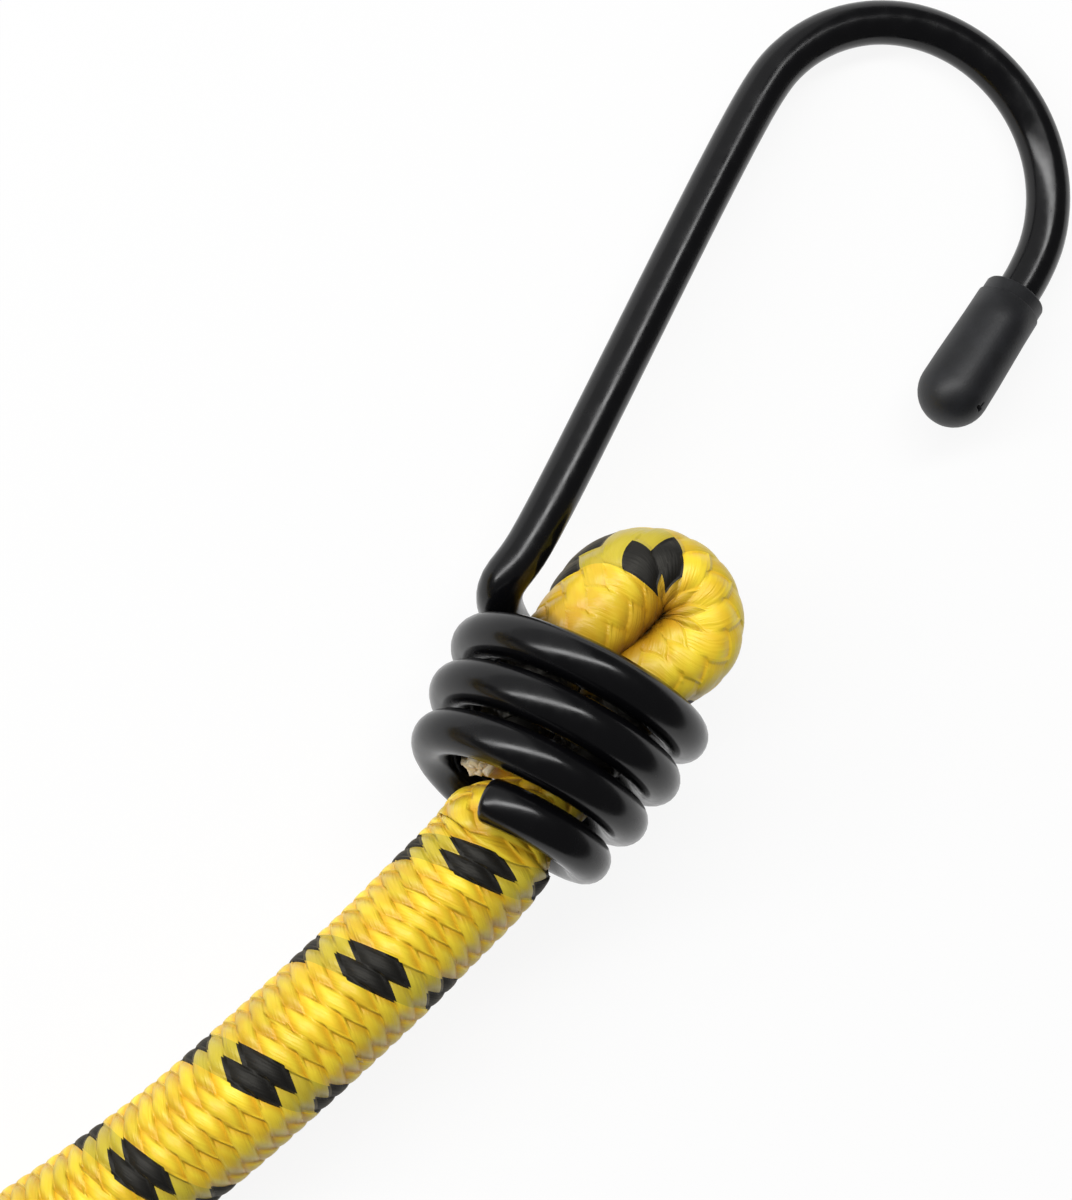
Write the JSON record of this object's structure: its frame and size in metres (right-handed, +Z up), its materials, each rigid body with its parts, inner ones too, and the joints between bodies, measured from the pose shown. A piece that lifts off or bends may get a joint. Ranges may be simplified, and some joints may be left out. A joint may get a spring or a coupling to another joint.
{
  "type": "bungee cord",
  "caption": "Elastic cord in a yellow braided jacket with black flecks, a black coated wire hook wound on each end, stored in a strapped coil.",
  "frame": {"origin": "on the surface that the cord lies on, under the cord's axis where the free run from the near hook goes over into the stored coil", "axes": "+Y from the coil towards the near hook, +Z up from the surface"},
  "size_m": [0.1067, 0.1879, 0.0166],
  "materials": {
    "hook_coating": "glossy black vinyl dip over steel wire",
    "tip_cap": "matt dark grey moulded rubber",
    "braided_jacket": "yellow braided filament yarns with two black tracer yarns",
    "rubber_core": "pale natural rubber threads",
    "strap": "black woven hook-and-loop tape"
  },
  "bodies": {
    "hook_end": {"near_hook": "hook_coating", "near_tip_cap": "tip_cap", "near_fold_jacket": "braided_jacket", "near_fold_core": "rubber_core", "near_run_jacket": "braided_jacket", "near_run_core": "rubber_core"},
    "stored_cord": {"coil_jacket": "braided_jacket", "coil_core": "rubber_core", "coil_strap": "strap", "far_run_jacket": "braided_jacket", "far_run_core": "rubber_core", "far_hook": "hook_coating", "far_tip_cap": "tip_cap", "far_fold_jacket": "braided_jacket", "far_fold_core": "rubber_core"}
  },
  "joints": [
    {"name": "cord_stretch", "type": "slide", "parent": "hook_end", "child": "stored_cord", "axis": [0, -1, 0], "range_m": [0, 0.05], "stiffness_N_per_m": 1900, "deforming": ["near_run_jacket", "near_run_core"]}
  ]
}
